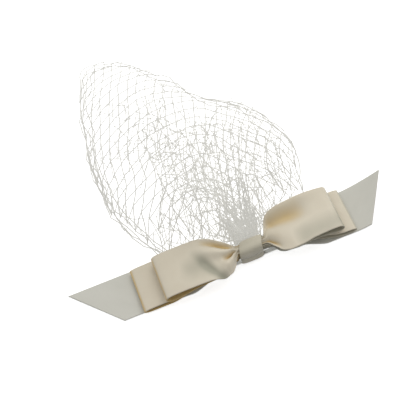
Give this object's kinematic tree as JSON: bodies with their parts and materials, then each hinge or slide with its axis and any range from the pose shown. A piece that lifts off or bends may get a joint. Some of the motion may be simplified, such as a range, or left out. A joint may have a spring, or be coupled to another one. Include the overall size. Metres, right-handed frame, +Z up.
{
  "type": "mesh veil on a ribbon bow with a hair clip",
  "caption": "Puffed coarse-net bridal veil, gathered behind the knot of a flat satin ribbon bow, with a hair clip under the knot.",
  "frame": {"origin": "middle of the hair clip's flat underside, on the surface that the veil lies on", "axes": "+X along the bow to its right end, +Y from the bow to the veil, +Z up from the surface"},
  "size_m": [0.2522, 0.2337, 0.0577],
  "materials": {
    "clip_steel": "plain bright steel",
    "satin_ribbon": "cream satin ribbon with a soft sheen",
    "veil_net": "stiff off-white net with small knots"
  },
  "bodies": {
    "root": {"hair_clip": "clip_steel", "ribbon_tails": "satin_ribbon", "lower_loops": "satin_ribbon", "upper_loops": "satin_ribbon", "knot_band": "satin_ribbon", "veil": "veil_net", "inner_folds": "veil_net"}
  },
  "joints": []
}
